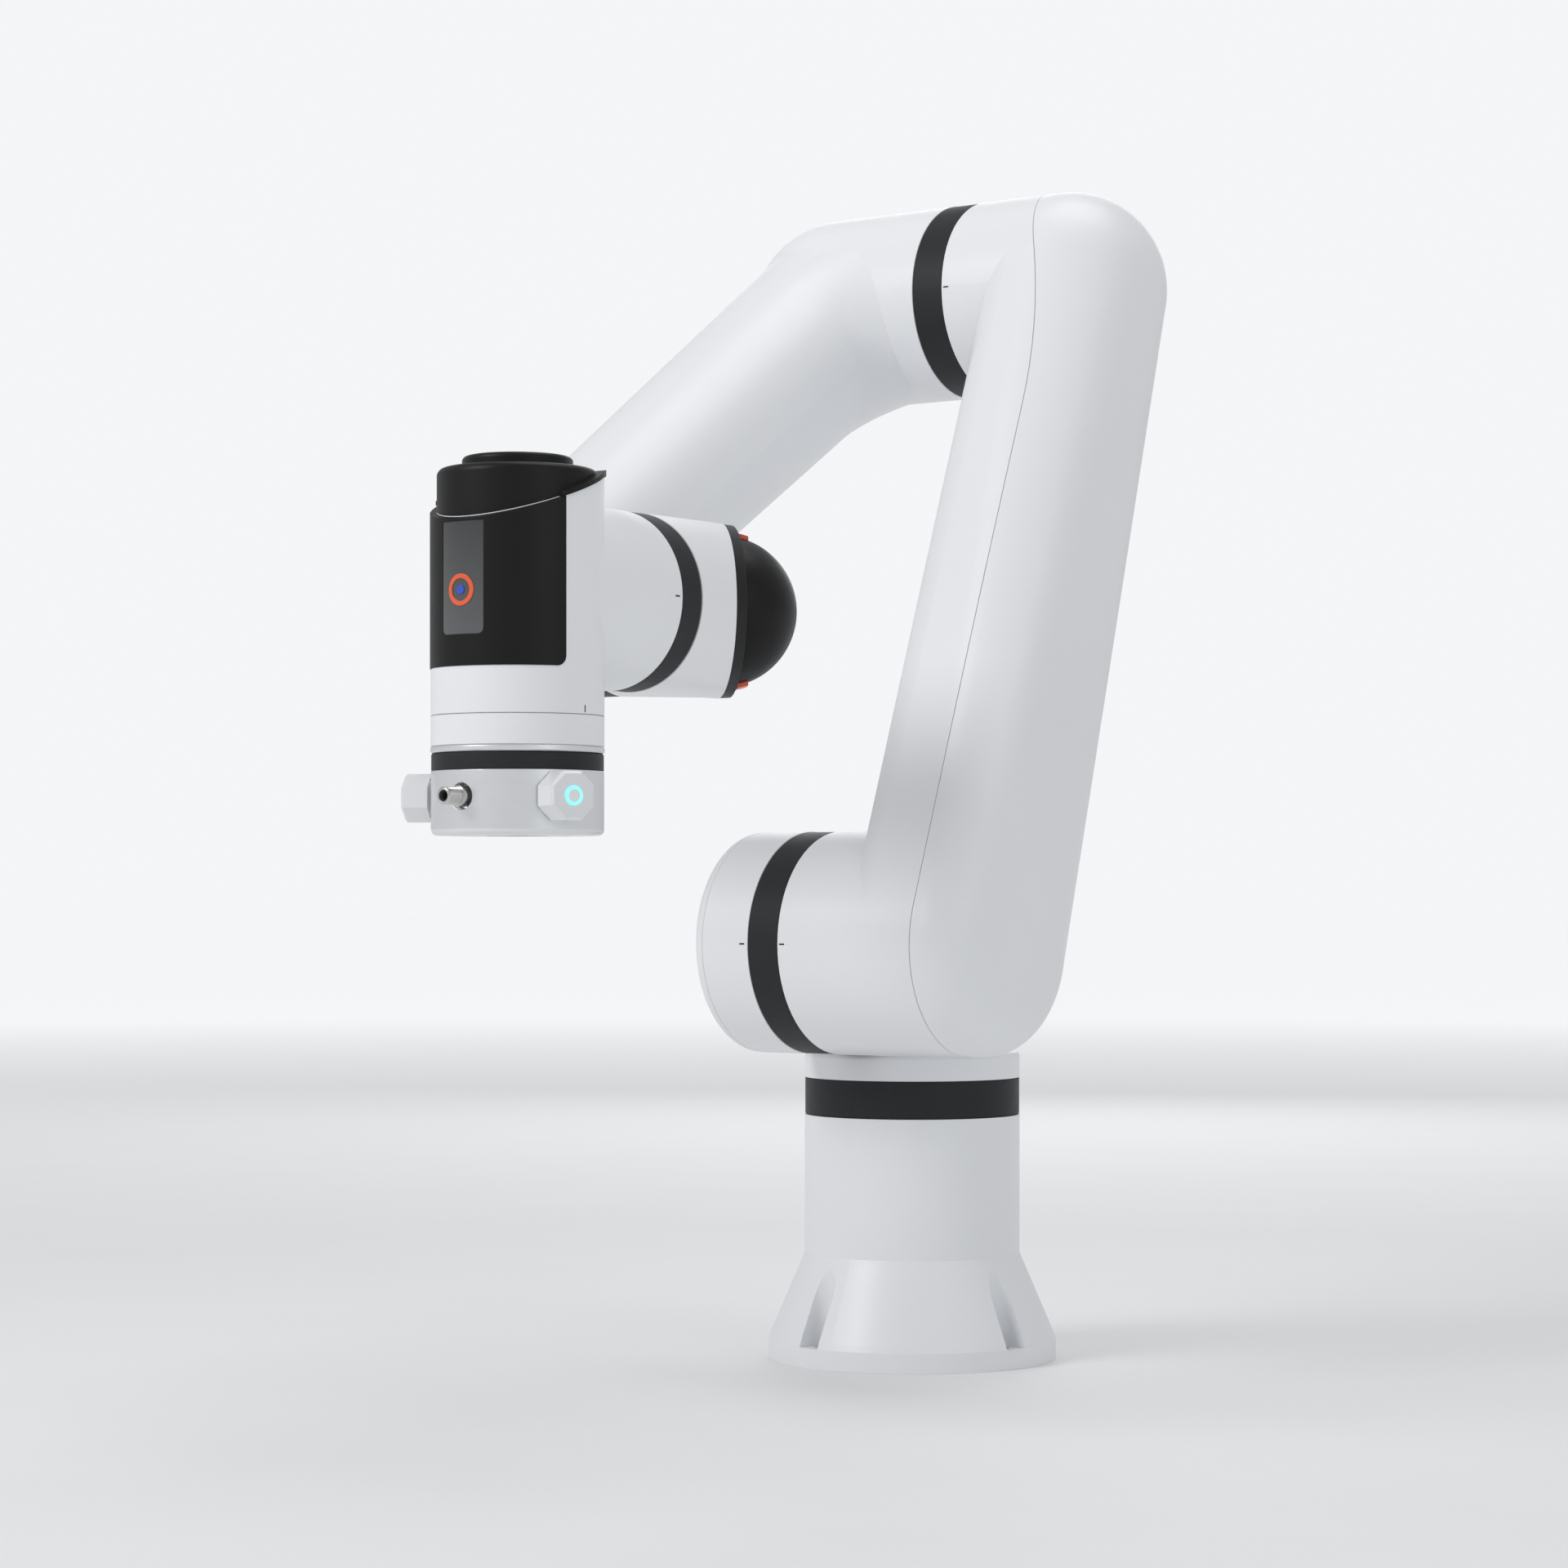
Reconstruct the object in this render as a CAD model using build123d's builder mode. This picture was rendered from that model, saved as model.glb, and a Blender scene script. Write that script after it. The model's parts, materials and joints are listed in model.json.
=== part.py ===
from build123d import *
from math import atan2, cos, degrees, hypot, radians, sin
import os

os.makedirs("parts", exist_ok=True)

# ---------------------------------------------------------------- driving dimensions (mm, degrees)
# +Z up, +X toward the tool, +Y toward the upper arm, origin at the centre of the base's underside

CLEAR = 0.3          # gap between curved faces of parts that turn against each other
RUN = 0.05           # radial running clearance of every output stub in its bearing
WALL = 6.0           # wall of the round joint housings
SHELL = 5.0          # wall of the cast arm links
SEAM = 0.4           # open seam between two covers
FRONT = 33.9         # heading of the flat between the two front bolt pockets

# axis 1, vertical, in the base
R1 = 65.65
BASE_R = 87.75
BASE_RIM = 12.0
FLARE_LOW_R = 86.3
FLARE_LOW_Z = 16.0
FLARE_TOP_R = 67.2
FLARE_TOP_Z = 60.5
J1_MOUTH = 148.7
J1_RING = 22.7
NECK_TOP = 187.6
BOLT_PCD = 152.0
BOLT_HOLE_R = 4.5
POCKET_R = 7.6
PANEL_Z = 72.0
PANEL_R = 62.6

# axis 2, along Y, ahead of axis 1
X2, Z2, R2 = 97.5, 254.2, 65.65
J2_MOUTH = 16.5
J2_RING = 21.5
SHOULDER_END = -45.5
END_CAP = 8.0
RISER_FRONT = 46.0

# axis 3, along Y, at the top of the upper arm
UPPER_LENGTH = 421.0
LEAN = 20.0
X3 = X2 - UPPER_LENGTH * sin(radians(LEAN))
Z3 = Z2 + UPPER_LENGTH * cos(radians(LEAN))
R3 = 59.3
J3_MOUTH = 30.0
J3_RING = 21.5
LINK_IN = 54.5
LINK_OUT = 142.0
LINK_EDGE_IN = 22.0
LINK_EDGE_LOW = 29.0
LINK_EDGE_HIGH = 56.0
SPLIT_Y = 107.5
SPLIT_BEND = 316.0
SPLIT_R = 387.0

# axis 4, along Y, at the lower end of the forearm
FOREARM_Y = -81.0
X4, Z4, R4 = 281.7, 436.0, 44.0
TUBE_HIGH_R = 56.5
TUBE_LOW_R = 46.5
J4_MOUTH = -20.0
J4_RING = 17.5
ELBOW_BEND = 86.0
WRIST_BEND = 56.0

# axis 5, along X
Y5, Z5, R5 = 65.0, 436.0, 47.1
J5_MOUTH = 360.3
J5_RING = 17.2
CAP_BAND = 6.5
DOME_R = 41.0
ACCENT = 17.0

# axis 6, vertical, over the tool
X6, Y6, R6 = 452.8, 65.0, 43.7
J6_MOUTH = 354.0
J6_RING = 9.0
SILVER_TOP = 357.5
LOWER_TOP = 373.0
COVER_LOW = 396.4
COVER_HALF = 73.0
VISOR_Z = 485.5
VISOR_SLOPE = 0.36
VISOR_BACK_Z = 494.5
CAP_TOP = 497.3
DISC_TOP = 503.5
SCREEN_LOW = 412.0
SCREEN_HIGH = 468.0
SCREEN_HALF = 17.4
COVER_CORNER = 5.0
SCREEN_CORNER = 3.0
EMBLEM_Z = 434.0

# tool flange
FLANGE_BOTTOM = 312.7
FLANGE_TOP = J6_MOUTH - J6_RING
FLANGE_R = 43.6
TOOL_PCD = 50.0
TOOL_SCREW_R = 3.0
PILOT_R = 15.75
BUTTON_HEADING = 68.0
BUTTON_Z = 331.8
BUTTON_OUT = 58.4
BUTTON_TRAVEL = 1.5
BUTTON_R = 3.3
LIGHT_R = 4.9
SOCKET_RECESS_R = 6.8

# ---------------------------------------------------------------- shared shapes

# joint planes: origin in the mouth of the housing that holds the drive, z toward the output side
J1 = Plane(origin=(0, 0, J1_MOUTH), x_dir=(1, 0, 0), z_dir=(0, 0, 1))
J2 = Plane(origin=(X2, J2_MOUTH, Z2), x_dir=(1, 0, 0), z_dir=(0, -1, 0))
J3 = Plane(origin=(X3, J3_MOUTH, Z3), x_dir=(1, 0, 0), z_dir=(0, -1, 0))
J4 = Plane(origin=(X4, J4_MOUTH, Z4), x_dir=(1, 0, 0), z_dir=(0, 1, 0))
J5 = Plane(origin=(J5_MOUTH, Y5, Z5), x_dir=(0, 1, 0), z_dir=(1, 0, 0))
J6 = Plane(origin=(X6, Y6, J6_MOUTH), x_dir=(1, 0, 0), z_dir=(0, 0, -1))


def tube(plane, outer, inner, low, high):
    """A straight tube on a joint plane between two heights along its axis."""
    with BuildPart() as body:
        with BuildSketch(plane.offset(low)):
            Circle(outer)
            if inner:
                Circle(inner, mode=Mode.SUBTRACT)
        extrude(amount=high - low)
    return body.part


def seal_ring(plane, outer, length):
    """The dark ring that closes the running gap of a joint."""
    with BuildPart() as body:
        add(tube(plane, outer - 0.25, outer - WALL + 1, CLEAR, length))
        chamfer(body.edges().filter_by(GeomType.CIRCLE).sort_by_distance(plane.origin)[-2:], 0.5)
    return body.part


def stub_depth(depth):
    """How far the output stub reaches into the gearbox."""
    return min(14.0, 0.45 * depth - 2)


def motor(plane, inner, depth):
    """Frameless motor in its can: a finned cylinder around a hollow shaft."""
    top = -0.45 * depth
    length = depth + top
    with BuildPart() as body:
        add(tube(plane, inner - 4, 0.22 * inner, -depth, top))
        for step in range(4):
            low = -depth + length * (0.24 + 0.16 * step)
            add(tube(plane, inner, inner - 6, low, low + 2.5), mode=Mode.SUBTRACT)
    return body.part


def gearbox(plane, inner, depth):
    """Strain-wave gear with its output bearing: the bearing bore faces the joint."""
    with BuildPart() as body:
        add(tube(plane, inner - 3, 0.22 * inner, -0.45 * depth, -2))
        add(tube(plane, 0.5 * inner + RUN, 0, -stub_depth(depth), -2), mode=Mode.SUBTRACT)
        with Locations(plane.offset(-2)):
            with PolarLocations(0.76 * inner, 8):
                Hole(radius=0.05 * inner, depth=3)
    return body.part


def output_hub(plane, inner, depth, length):
    """Output flange of the gear: a stub in the bearing and a disc bolted to the next link."""
    with BuildPart() as body:
        add(tube(plane, 0.5 * inner, 0.22 * inner, 0.5 - stub_depth(depth), -1.7))
        add(tube(plane, inner - 6, 0.22 * inner, -1.7, length))
        with Locations(plane.offset(length)):
            with PolarLocations(0.7 * inner, 6):
                Hole(radius=0.05 * inner, depth=8)
    return body.part


def board(plane, inner, depth):
    """Round controller board behind a motor, with a few chips on it."""
    with BuildPart() as body:
        add(tube(plane, inner - 10, 0.24 * inner, -depth - 7.6, -depth - 6))
        with BuildSketch(plane.offset(-depth - 7.6)):
            with PolarLocations(0.55 * inner, 5):
                Rectangle(0.16 * inner, 0.2 * inner)
        extrude(amount=-2)
        add(tube(plane, 0.34 * inner, 0.24 * inner, -depth - 6, -depth))
    return body.part


def link_solid(shrink):
    """Tapered upper-arm body: a lofted middle and two turned ends, rounder at the top outside."""
    direction = Vector(-sin(radians(LEAN)), 0, cos(radians(LEAN)))
    ends = ((X2, Z2, R2, LINK_EDGE_LOW), (X3, Z3, R3, LINK_EDGE_HIGH))
    with BuildPart() as body:
        for x, z, radius, edge in ends:
            across = Plane(origin=(x, 0, z), x_dir=(0, 1, 0), z_dir=direction)
            with BuildSketch(across):
                add(link_section(radius, edge, shrink + 0.05))
        loft(ruled=True)
        for x, z, radius, edge in ends:
            upright = Plane(origin=(x, 0, z), x_dir=(0, 1, 0), z_dir=(1, 0, 0))
            with BuildSketch(upright):
                add(link_section(radius, edge, shrink))
                with Locations((0, -2 * R2)):
                    Rectangle(4 * LINK_OUT, 4 * R2, mode=Mode.SUBTRACT)
            revolve(axis=Axis((x, 0, z), (0, 1, 0)), revolution_arc=360)
    return body.part


def link_section(radius, edge, shrink):
    """Section across the upper arm: small corners inside, large corners outside."""
    radius, edge, inside = radius - shrink, edge - shrink, LINK_EDGE_IN - shrink
    low_y, high_y = LINK_IN + shrink, LINK_OUT - shrink
    with BuildSketch() as section:
        with BuildLine():
            Line((low_y + inside, radius), (high_y - edge, radius))
            TangentArc((high_y - edge, radius), (high_y, radius - edge), tangent=(1, 0))
            Line((high_y, radius - edge), (high_y, edge - radius))
            TangentArc((high_y, edge - radius), (high_y - edge, -radius), tangent=(0, -1))
            Line((high_y - edge, -radius), (low_y + inside, -radius))
            TangentArc((low_y + inside, -radius), (low_y, inside - radius), tangent=(-1, 0))
            Line((low_y, inside - radius), (low_y, radius - inside))
            TangentArc((low_y, radius - inside), (low_y + inside, radius), tangent=(0, 1))
        make_face()
    return section.sketch


def outside_of_split(shift):
    """Everything on the cover's side of the seam that runs up the upper arm."""
    along = Vector(-sin(radians(LEAN)), 0, cos(radians(LEAN)))
    side = Plane(origin=(X2, 0, Z2), x_dir=(0, 1, 0), z_dir=Vector(0, 1, 0).cross(along))
    seam = SPLIT_Y + shift
    reach = radians(32)
    bend_end = (seam - SPLIT_R * (1 - cos(reach)), SPLIT_BEND + SPLIT_R * sin(reach))
    with BuildPart() as body:
        with BuildSketch(side):
            with BuildLine():
                Line((seam, -200), (seam, SPLIT_BEND))
                TangentArc((seam, SPLIT_BEND), bend_end, tangent=(0, 1))
                Polyline(bend_end, (300, bend_end[1]), (300, -200), (seam, -200))
            make_face()
        extrude(amount=120, both=True)
    return body.part


def ball_barrel(centre, toward, ball, mouth, length):
    """Turned barrel with a ball at one end: from the ball's centre to the mouth."""
    with BuildPart() as body:
        with BuildSketch(Plane(origin=centre, x_dir=toward, z_dir=(0, 0, 1))):
            with BuildLine():
                Polyline((-ball, 0), (length, 0), (length, mouth), (0, ball))
                TangentArc((0, ball), (-ball, 0), tangent=(-1, 0))
            make_face()
        revolve(axis=Axis(centre, toward))
    return body.part


def forearm_solid(shrink):
    """Forearm body: a ball elbow at each end, a tapering tube between and two barrels toward +Y."""
    run = hypot(X4 - X3, Z4 - Z3)
    along = Vector((X4 - X3) / run, 0, (Z4 - Z3) / run)
    high = Plane(origin=(X3, FOREARM_Y, Z3), x_dir=(0, 1, 0), z_dir=along)
    side = Vector(0, 1, 0)
    high_length = J3_MOUTH - J3_RING - FOREARM_Y
    with BuildPart() as body:
        with BuildSketch(high):
            Circle(TUBE_HIGH_R - shrink)
        with BuildSketch(high.offset(run)):
            Circle(TUBE_LOW_R - shrink)
        loft()
        add(ball_barrel(Vector(X3, FOREARM_Y, Z3), side, R3 - shrink, R3 - shrink, high_length))
        low_ball = TUBE_LOW_R + 0.1 - shrink
        add(ball_barrel(Vector(X4, FOREARM_Y, Z4), side, low_ball, R4 - shrink, J4_MOUTH - FOREARM_Y))
        for x, z, bend, radius, way in (
            (X3, Z3, ELBOW_BEND, TUBE_HIGH_R - 2.3, 1),
            (X4, Z4, WRIST_BEND, TUBE_LOW_R - 3.6, -1),
        ):
            toward = along * way
            top = Vector(x, FOREARM_Y + bend, z)
            with BuildSketch(Plane(origin=top, x_dir=toward, z_dir=side)):
                Circle(radius - shrink)
            revolve(axis=Axis(top + toward * bend, toward.cross(side)), revolution_arc=90)
    return body.part


def round_band(outer, inner, low, high, heading, half):
    """Part of a vertical tube around axis 6, centred on a heading."""
    reach = 2 * R6
    with BuildPart() as body:
        with BuildSketch(Plane(origin=(X6, Y6, low))):
            Circle(outer)
            Circle(inner, mode=Mode.SUBTRACT)
            with BuildLine():
                Polyline(
                    (0, 0),
                    (reach * cos(radians(heading - half)), reach * sin(radians(heading - half))),
                    (3 * reach * cos(radians(heading)), 3 * reach * sin(radians(heading))),
                    (reach * cos(radians(heading + half)), reach * sin(radians(heading + half))),
                    (0, 0),
                )
            make_face(mode=Mode.INTERSECT)
        extrude(amount=high - low)
    return body.part


def corner_wedges(low, half, size):
    """What two rounded lower corners leave out of a band around axis 6."""
    with BuildPart() as body:
        for way in (-1, 1):
            turn = radians(way * (half - degrees(size / R6)))
            corner = Plane(
                origin=(X6 + (R6 - 6) * cos(turn), Y6 + (R6 - 6) * sin(turn), low + size),
                x_dir=(-way * sin(turn), way * cos(turn), 0),
                z_dir=(cos(turn), sin(turn), 0),
            )
            with BuildSketch(corner):
                Rectangle(size + 1, size + 1, align=(Align.MIN, Align.MAX if way > 0 else Align.MIN))
                Circle(size, mode=Mode.SUBTRACT)
            extrude(amount=20)
    return body.part


def cover_band(outer):
    """The wrist cover's place in the shell, with rounded lower corners."""
    with BuildPart() as body:
        add(round_band(outer, R6 - 3, COVER_LOW, CAP_TOP, 0, COVER_HALF))
        add(corner_wedges(COVER_LOW, COVER_HALF, COVER_CORNER), mode=Mode.SUBTRACT)
    return body.part


def screen_band(outer):
    """The screen's place in the cover, with rounded lower corners."""
    with BuildPart() as body:
        add(round_band(outer, R6 - 0.4, SCREEN_LOW, SCREEN_HIGH, 0, SCREEN_HALF))
        add(corner_wedges(SCREEN_LOW, SCREEN_HALF, SCREEN_CORNER), mode=Mode.SUBTRACT)
    return body.part


def above_visor(shift):
    """Everything over the sloping lower edge of the top cap."""
    reach = 2 * R6
    back = (VISOR_Z - VISOR_BACK_Z) / VISOR_SLOPE
    with BuildPart() as body:
        with BuildSketch(Plane(origin=(X6, Y6, shift), x_dir=(1, 0, 0), z_dir=(0, -1, 0))):
            with BuildLine():
                Polyline(
                    (reach, VISOR_Z - VISOR_SLOPE * reach),
                    (back, VISOR_BACK_Z),
                    (-reach, VISOR_BACK_Z),
                    (-reach, 600),
                    (reach, 600),
                    (reach, VISOR_Z - VISOR_SLOPE * reach),
                )
            make_face()
        extrude(amount=reach, both=True)
    return body.part


def button_plane(heading, out):
    """Plane square to the radius from axis 6 at a heading."""
    spot = (X6 + out * cos(radians(heading)), Y6 + out * sin(radians(heading)), BUTTON_Z)
    return Plane(origin=spot, x_dir=(0, 0, 1), z_dir=(cos(radians(heading)), sin(radians(heading)), 0))


# inner radii of the housings that hold the drives
IN1, IN2, IN3 = R1 - WALL, R2 - WALL, R3 - WALL
IN4, IN5, IN6 = R4 - WALL, R5 - WALL, R6 - WALL
DEPTH = {1: 62.0, 2: 60.0, 3: 50.0, 4: 44.0, 5: 44.0, 6: 44.0}
LEDGE = 4.0

# flat for the connectors on the base, square to the heading opposite the front
BACK_WAY = Vector(cos(radians(FRONT + 180)), sin(radians(FRONT + 180)), 0)
BACK = Plane(
    origin=BACK_WAY * PANEL_R + Vector(0, 0, PANEL_Z),
    x_dir=Vector(-BACK_WAY.Y, BACK_WAY.X, 0),
    z_dir=BACK_WAY,
)


def mark_plane(plane, radius, height, side=(1, 0, 0)):
    """Plane touching a joint housing where its zero mark is engraved."""
    spot = plane.origin + plane.z_dir * height + Vector(side) * radius
    return Plane(origin=spot, x_dir=plane.z_dir, z_dir=side)


def riser(shrink, low_y, high_y):
    """Web between the neck and the barrel of axis 2: straight flanks tangent to the barrel."""
    back, foot = -R1 + shrink, NECK_TOP - 10
    reach = hypot(X2 - back, Z2 - foot)
    rise = atan2(Z2 - foot, X2 - back) + atan2(R2 - shrink, (reach**2 - (R2 - shrink) ** 2) ** 0.5)
    run = (reach**2 - (R2 - shrink) ** 2) ** 0.5
    touch = (back + run * cos(rise), foot + run * sin(rise))
    with BuildPart() as body:
        with BuildSketch(Plane(origin=(0, high_y, 0), x_dir=(1, 0, 0), z_dir=(0, -1, 0))):
            with BuildLine():
                Polyline((back, foot), touch, (X2, Z2), (RISER_FRONT - shrink, foot), (back, foot))
            make_face()
        extrude(amount=high_y - low_y)
        with BuildSketch(Plane.XY.offset(foot)):
            Circle(R1 - shrink)
            Rectangle(X2, 4 * R1, align=(Align.MIN, Align.CENTER))
        extrude(amount=2 * R1, mode=Mode.INTERSECT)
    return body.part


def boss_spots():
    """Places of the four screw bosses that join the two halves of the upper arm."""
    lean = radians(LEAN)
    spots = []
    for along in (130.0, 290.0):
        for side in (-16.0, 16.0):
            spots.append((
                X2 - along * sin(lean) + side * cos(lean),
                Z2 + along * cos(lean) + side * sin(lean),
            ))
    return spots


# ---------------------------------------------------------------- base

with BuildPart() as base_housing:
    with BuildSketch(Plane.XZ):
        with BuildLine():
            Polyline(
                (0, 0),
                (BASE_R, 0),
                (BASE_R, BASE_RIM),
                (FLARE_LOW_R, FLARE_LOW_Z),
                (FLARE_TOP_R, FLARE_TOP_Z),
                (R1, FLARE_TOP_Z + 4),
                (R1, J1_MOUTH),
                (0, J1_MOUTH),
                (0, 0),
            )
        make_face()
    revolve(axis=Axis.Z)
    with BuildSketch(Plane.XY):
        Circle(IN1 - 3)
    extrude(amount=J1_MOUTH - DEPTH[1] - LEDGE, mode=Mode.SUBTRACT)
    with BuildSketch(Plane.XY):
        Circle(IN1)
    extrude(amount=6, mode=Mode.SUBTRACT)
    add(tube(J1, IN1 - 8, 0, -DEPTH[1] - 8, 1), mode=Mode.SUBTRACT)
    add(tube(J1, IN1, 0, -DEPTH[1], 1), mode=Mode.SUBTRACT)
    # four bolt pockets in the flare, open to the outside, with a clearance hole in each floor
    with BuildSketch(Plane.XY.offset(BASE_RIM)):
        with PolarLocations(BOLT_PCD / 2, 4, start_angle=FRONT + 45):
            Circle(POCKET_R)
            Rectangle(30, 2 * POCKET_R, align=(Align.MIN, Align.CENTER))
    extrude(amount=60, mode=Mode.SUBTRACT)
    with BuildSketch(Plane.XY):
        with PolarLocations(BOLT_PCD / 2, 4, start_angle=FRONT + 45):
            Circle(BOLT_HOLE_R)
    extrude(amount=BASE_RIM, mode=Mode.SUBTRACT)
    # flat at the back for the connector panel, and the window behind it
    with BuildSketch(BACK):
        Rectangle(39, 20)
    extrude(amount=20, mode=Mode.SUBTRACT)
    with BuildSketch(BACK):
        Rectangle(30, 13)
    extrude(amount=-12, mode=Mode.SUBTRACT)
base_housing.part.label = "base_housing"

with BuildPart() as base_bottom_cover:
    with BuildSketch(Plane.XY.offset(3)):
        Circle(IN1 - CLEAR)
        Circle(16, mode=Mode.SUBTRACT)
        with PolarLocations(IN1 - 1.5 - 3, 6):
            Circle(1.6, mode=Mode.SUBTRACT)
    extrude(amount=3)
base_bottom_cover.part.label = "base_bottom_cover"

with BuildPart() as base_connector_panel:
    with BuildSketch(BACK):
        RectangleRounded(37, 18, 2)
    extrude(amount=2)
    with BuildSketch(BACK):
        for side in (-8.5, 8.5):
            with Locations((side, 0)):
                Circle(6.0 + RUN, mode=Mode.ADD)
    extrude(amount=2, mode=Mode.SUBTRACT)
base_connector_panel.part.label = "base_connector_panel"


def round_socket(side, pins, pitch):
    """Threaded round socket in the connector panel, with its pins inside the open mouth."""
    with BuildPart() as body:
        with BuildSketch(BACK.offset(-8)):
            with Locations((side, 0)):
                Circle(6.0)
        extrude(amount=14)
        with BuildSketch(BACK.offset(2)):
            with Locations((side, 0)):
                RegularPolygon(8.0, 6, rotation=30)
                Circle(6.0, mode=Mode.SUBTRACT)
        extrude(amount=2)
        with BuildSketch(BACK.offset(0)):
            with Locations((side, 0)):
                Circle(4.6)
        extrude(amount=6, mode=Mode.SUBTRACT)
        with BuildSketch(BACK.offset(0)):
            with Locations((side, 0)):
                with PolarLocations(pitch, pins):
                    Circle(0.6)
        extrude(amount=4.5)
    return body.part


with BuildPart() as base_power_socket:
    add(round_socket(-8.5, 4, 2.6))
base_power_socket.part.label = "base_power_socket"

with BuildPart() as base_data_socket:
    add(round_socket(8.5, 8, 3.0))
base_data_socket.part.label = "base_data_socket"

# ---------------------------------------------------------------- shoulder

with BuildPart() as shoulder_housing:
    add(tube(J1, R1, 0, J1_RING, NECK_TOP - J1_MOUTH))
    fillet(shoulder_housing.edges().group_by(Axis.Z)[-1], 4)
    add(tube(J1, IN1, 0, J1_RING + 6, NECK_TOP - J1_MOUTH - 5), mode=Mode.SUBTRACT)
    # riser from the neck to the offset barrel of axis 2, kept inside the outline of the neck
    add(riser(0, SHOULDER_END + END_CAP, J2_MOUTH - J2_RING))
    add(riser(SHELL, SHOULDER_END + END_CAP + SHELL, J2_MOUTH - J2_RING - 6), mode=Mode.SUBTRACT)
    add(tube(J2, R2, 0, J2_RING, J2_MOUTH - SHOULDER_END - END_CAP))
    add(tube(J2, IN2, 0, J2_RING + 6, J2_MOUTH - SHOULDER_END - END_CAP), mode=Mode.SUBTRACT)
    add(tube(J2, 0.22 * IN2, 0, 0, J2_RING + 10), mode=Mode.SUBTRACT)
    add(tube(J1, 0.22 * IN1, 0, J1_RING, J1_RING + 7), mode=Mode.SUBTRACT)
    # zero mark beside the seal ring
    with BuildSketch(mark_plane(J2, R2, J2_RING + 4)):
        Rectangle(3.6, 0.9)
    extrude(amount=-0.5, mode=Mode.SUBTRACT)
shoulder_housing.part.label = "shoulder_housing"

CAP_HIGH = J2_MOUTH - SHOULDER_END
with BuildPart() as shoulder_end_cap:
    add(tube(J2, R2, 0, CAP_HIGH - END_CAP, CAP_HIGH))
    fillet(shoulder_end_cap.edges().group_by(Axis.Y)[0], 6.5)
    add(tube(J2, IN2 - 2, 0, CAP_HIGH - END_CAP, CAP_HIGH - 4), mode=Mode.SUBTRACT)
    chamfer(shoulder_end_cap.edges().filter_by(GeomType.CIRCLE).group_by(SortBy.RADIUS)[-1], 0.6)
shoulder_end_cap.part.label = "shoulder_end_cap"

# ---------------------------------------------------------------- upper arm

with BuildPart() as arm_outer:
    add(link_solid(0))
    add(tube(J2, R2, 0, -(LINK_IN + 35 - J2_MOUTH), 0))
    add(tube(J3, R3, 0, -(LINK_IN + 26 - J3_MOUTH), 0))

with BuildPart() as upper_arm_shell:
    add(arm_outer.part)
    add(link_solid(SHELL), mode=Mode.SUBTRACT)
    for plane, inner, depth in ((J2, IN2, DEPTH[2]), (J3, IN3, DEPTH[3])):
        add(tube(plane, inner + 3.5, inner, -depth - LEDGE, 0))
        add(tube(plane, inner, 0, -depth, 0), mode=Mode.SUBTRACT)
        add(tube(plane, inner, inner - 8, -depth - LEDGE, -depth))
        add(tube(plane, inner - 8, 0, -depth - 2 * LEDGE, 0), mode=Mode.SUBTRACT)
    for spot in boss_spots():
        with BuildSketch(Plane(origin=(spot[0], LINK_IN + 2, spot[1]), x_dir=(1, 0, 0), z_dir=(0, 1, 0))):
            Circle(6)
        extrude(amount=LINK_OUT - LINK_IN - 4)

with BuildPart() as upper_arm_housing:
    add(upper_arm_shell.part)
    add(outside_of_split(0), mode=Mode.SUBTRACT)
    with BuildSketch(mark_plane(J2, R2, -3)):
        Rectangle(3.6, 0.9)
    extrude(amount=-0.5, mode=Mode.SUBTRACT)
    with BuildSketch(mark_plane(J3, R3, -3)):
        Rectangle(3.6, 0.9)
    extrude(amount=-0.5, mode=Mode.SUBTRACT)
upper_arm_housing.part.label = "upper_arm_housing"

with BuildPart() as upper_arm_cover:
    add(upper_arm_shell.part)
    add(outside_of_split(SEAM), mode=Mode.INTERSECT)
    for spot in boss_spots():
        with BuildSketch(Plane(origin=(spot[0], SPLIT_Y, spot[1]), x_dir=(1, 0, 0), z_dir=(0, 1, 0))):
            Circle(6)
        extrude(amount=2)
upper_arm_cover.part.label = "upper_arm_cover"

# ---------------------------------------------------------------- forearm

with BuildPart() as forearm_housing:
    add(forearm_solid(0))
    add(forearm_solid(SHELL), mode=Mode.SUBTRACT)
    add(tube(J3, R3 - 2, 0.22 * IN3, J3_RING, J3_RING + 6))
    add(tube(J4, R4 - 3, IN4 - 1, -DEPTH[4] - LEDGE, 0))
    add(tube(J4, IN4, 0, -DEPTH[4], 0), mode=Mode.SUBTRACT)
    add(tube(J4, IN4, IN4 - 8, -DEPTH[4] - LEDGE, -DEPTH[4]))
forearm_housing.part.label = "forearm_housing"

# ---------------------------------------------------------------- wrist 1

MITRE = Plane(
    origin=(X4 + 2, Y5, Z5),
    x_dir=(0, 0, 1),
    z_dir=(-cos(radians(45)), sin(radians(45)), 0),
)


def mitre_block(height):
    """Everything on the outer side of the sloping joint between wrist 1 and its cap."""
    with BuildPart() as body:
        with BuildSketch(MITRE.offset(height)):
            Rectangle(300, 300)
        extrude(amount=150)
    return body.part


def elbow_4_5(shrink):
    """Elbow between axis 4 and axis 5: two barrels, one with a ball at the corner."""
    corner = Vector(X4, Y5, Z5)
    with BuildPart() as body:
        add(ball_barrel(corner, Vector(1, 0, 0), R5 - shrink, R5 - shrink, J5_MOUTH - X4))
        with BuildSketch(Plane(origin=corner, x_dir=(1, 0, 0), z_dir=(0, -1, 0))):
            Circle(R5 - 0.4 - shrink)
        with BuildSketch(Plane(origin=(X4, J4_MOUTH + J4_RING, Z5), x_dir=(1, 0, 0), z_dir=(0, -1, 0))):
            Circle(R4 - shrink)
        loft()
    return body.part


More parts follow.
